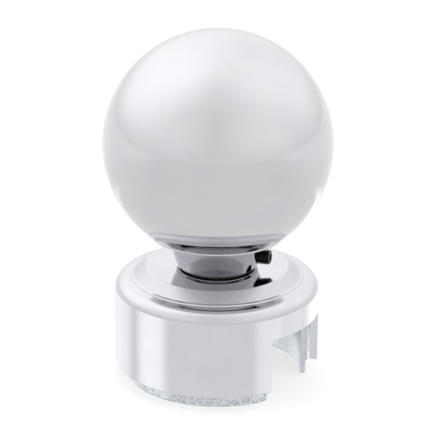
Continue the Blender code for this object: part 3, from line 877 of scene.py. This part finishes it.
def locating_pin():
    low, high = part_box("cover_locating_pin")
    outline = rounded([
        (0.0, high.z, 0.0),
        (PIN_RADIUS, high.z, 0.3 * MM),
        (PIN_RADIUS, low.z, 0.3 * MM),
        (0.0, low.z, 0.0),
    ])
    mesh = turned(outline, HOLE_ROUND, False)
    mesh.transform(Matrix.Translation((BOLT_CIRCLE, 0.0, 0.0)))
    fit(piece("pin", mesh), "adapter", "zinc_plate", "cover_locating_pin")


# Stage, light and camera.


def towards(azimuth, elevation):
    """Unit vector for a direction seen from the object, measured round from the camera's side."""
    turn, lift = radians(CAMERA_AZIMUTH + azimuth), radians(elevation)
    return Vector((sin(turn) * cos(lift), -cos(turn) * cos(lift), sin(lift)))


# The light tent.
TENT_LEVEL = 0.95
TENT_COLOUR = (0.985, 0.995, 1.0, 1.0)
# Soft panels: azimuth from the camera, elevation, inner and outer half angle, strength.
PANELS = (
    (180, 50, 10, 88, 0.31),
    (-125, 42, 0, 62, 0.21),
    (-80, 18, 0, 74, 0.18),
    (78, 18, 0, 76, 0.19),
)
# Elevations between which the panels fade in.
PANEL_FOOT = (-12, 20)
# Strips of light low down round the object: azimuth from the camera, half width, strength.
STRIPS = (
    (-136, 30, 0.32),
    (-80, 26, 0.50),
    (62, 22, 0.28),
    (98, 32, 0.24),
    (144, 28, 0.62),
)
STRIP_BASE = 0.06
# Elevations between which the strips fade in, and out again.
STRIP_FOOT = (-33, -29)
STRIP_HEAD = (-19, -16)
# The sheet round the object: its hole and rim, and where it fades in.
SHEET_INNER, SHEET_OUTER = 85 * MM, 1.5
SHEET_FADE = (86 * MM, 120 * MM)
FLOOR_RADIUS = 3.0
FLOOR_DROP = 0.1 * MM
SHEET_DROP = 0.05 * MM


def between_elevations(tree, height, limits, low, high):
    """A ramp over a direction's height, between two elevations in degrees."""
    start, end = (sin(radians(elevation)) for elevation in limits)
    return tree.spread(height, low, high, start, end)


def lobe(tree, direction, centre, inner, outer, strength):
    """Soft light round a direction, full within the inner half angle and gone beyond the outer one."""
    nearness = tree.vector_maths("DOT_PRODUCT", direction, "Value", centre)
    return tree.spread(nearness, 0.0, strength, cos(radians(outer)), cos(radians(inner)))


def sum_of(tree, parts):
    total = parts[0]
    for part in parts[1:]:
        total = tree.maths("ADD", total, part)
    return total


def level_direction(tree, direction):
    """The direction brought down to the horizontal, at unit length."""
    flat = tree.vector_maths("MULTIPLY", direction, "Vector", (1.0, 1.0, 0.0))
    return tree.vector_maths("NORMALIZE", flat, "Vector")


def tent_level(tree):
    """How bright the tent is in each direction."""
    direction = tree.add("ShaderNodeTexCoord").outputs["Generated"]
    parts = tree.add("ShaderNodeSeparateXYZ")
    tree.link(direction, parts.inputs["Vector"])
    height = parts.outputs["Z"]
    glow = sum_of(tree, [
        lobe(tree, direction, towards(azimuth, elevation), inner, outer, strength)
        for azimuth, elevation, inner, outer, strength in PANELS
    ])
    above = between_elevations(tree, height, PANEL_FOOT, 0.0, 1.0)
    level = tree.maths("ADD", tree.maths("MULTIPLY", glow, above), TENT_LEVEL)
    flat = level_direction(tree, direction)
    strips = sum_of(tree, [
        lobe(tree, flat, towards(azimuth, 0), 0, half_width, strength)
        for azimuth, half_width, strength in STRIPS
    ])
    foot = between_elevations(tree, height, STRIP_FOOT, 0.0, 1.0)
    head = between_elevations(tree, height, STRIP_HEAD, 1.0, 0.0)
    strips = tree.maths("ADD", strips, STRIP_BASE)
    return tree.maths("ADD", level, tree.maths("MULTIPLY", strips, tree.maths("MULTIPLY", foot, head)))


def studio():
    """A white light tent. The camera itself sees plain white behind the object."""
    world = bpy.data.worlds.new("studio")
    bpy.context.scene.world = world
    world.use_nodes = True
    tree = Tree(world.node_tree)
    back = world.node_tree.nodes["Background"]
    back.inputs["Color"].default_value = TENT_COLOUR
    tree.link(tent_level(tree), back.inputs["Strength"])
    plain = tree.add("ShaderNodeBackground")
    plain.inputs["Color"].default_value = (1.0, 1.0, 1.0, 1.0)
    seen = tree.add("ShaderNodeMixShader")
    tree.link(tree.add("ShaderNodeLightPath").outputs["Is Camera Ray"], seen.inputs[0])
    tree.link(back.outputs[0], seen.inputs[1])
    tree.link(plain.outputs[0], seen.inputs[2])
    tree.link(seen.outputs[0], world.node_tree.nodes["World Output"].inputs["Surface"])


def floor():
    """Plain pale floor. The chrome mirrors the tent's strips through it instead of the floor itself."""
    work = bmesh.new()
    bmesh.ops.create_circle(work, cap_ends=True, segments=96, radius=FLOOR_RADIUS)
    mesh = finished(work)
    mesh.transform(Matrix.Translation((0, 0, -FLOOR_DROP)))
    paper = Finish("pale_paper")
    paper.set(Roughness=1.0, Specular_IOR_Level=0.0, Emission_Color=(1, 1, 1, 1), Emission_Strength=0.72)
    paper.colour(paper.blend(paper.noise(30 * MM, 3.0), (0.30, 0.30, 0.302), (0.32, 0.32, 0.321)))
    mesh.materials.append(paper.material)
    made = piece("floor", mesh)
    made.visible_glossy = False


def sheet_glow():
    """Light of the sheet, which fades in from its hole and is brighter far away and behind the object."""
    glow = Finish("table_glow")
    distance = glow.vector_maths("LENGTH", glow.place, "Value")
    behind = glow.vector_maths("DOT_PRODUCT", glow.place, "Value", towards(180, 0))
    reach = glow.maths("MULTIPLY_ADD", distance, 0.6, behind)
    emission = glow.add("ShaderNodeEmission")
    emission.inputs["Color"].default_value = TENT_COLOUR
    glow.link(glow.spread(reach, 0.935, 1.08, -20 * MM, 350 * MM), emission.inputs["Strength"])
    mix = glow.add("ShaderNodeMixShader")
    glow.link(glow.spread(distance, 0.0, 1.0, *SHEET_FADE), mix.inputs[0])
    glow.link(glow.add("ShaderNodeBsdfTransparent").outputs[0], mix.inputs[1])
    glow.link(emission.outputs[0], mix.inputs[2])
    glow.link(mix.outputs[0], glow.tree.nodes["Material Output"].inputs["Surface"])
    return glow.material


def table_sheet():
    """Sheet beyond the object's foot that the ball mirrors and the camera doesn't see."""
    work = bmesh.new()
    rings = []
    for radius in (SHEET_INNER, SHEET_OUTER):
        turns = [2 * pi * index / 96 for index in range(96)]
        rings.append([work.verts.new((radius * cos(t), radius * sin(t), -SHEET_DROP)) for t in turns])
    bridge(work, *rings)
    made = piece("table_sheet", finished(work))
    made.data.materials.append(sheet_glow())
    made.visible_camera = False
    made.visible_diffuse = False
    made.visible_shadow = False


def camera():
    """A long lens that looks down on the object, with a little roll."""
    data = bpy.data.cameras.new("camera")
    data.lens = CAMERA_LENS
    data.sensor_width = 36.0
    data.clip_start = 0.01
    data.clip_end = 20.0
    made = bpy.data.objects.new("camera", data)
    bpy.context.scene.collection.objects.link(made)
    back = towards(0.0, CAMERA_ELEVATION)
    turn = back.to_track_quat("Z", "Y") @ Matrix.Rotation(radians(-CAMERA_ROLL), 3, "Z").to_quaternion()
    made.rotation_mode = "QUATERNION"
    made.rotation_quaternion = turn
    made.location = Vector((0, 0, CAMERA_TARGET_Z)) + back * CAMERA_DISTANCE
    bpy.context.scene.camera = made
    bpy.context.scene.view_settings.view_transform = "Standard"


ball()
neck()
thread_insert()
set_screw()
neck_washer()
cover()
sleeve()
stud()
nut()
stud_washers()
cover_screws()
valve_inserts()
locating_pin()
studio()
floor()
table_sheet()
camera()
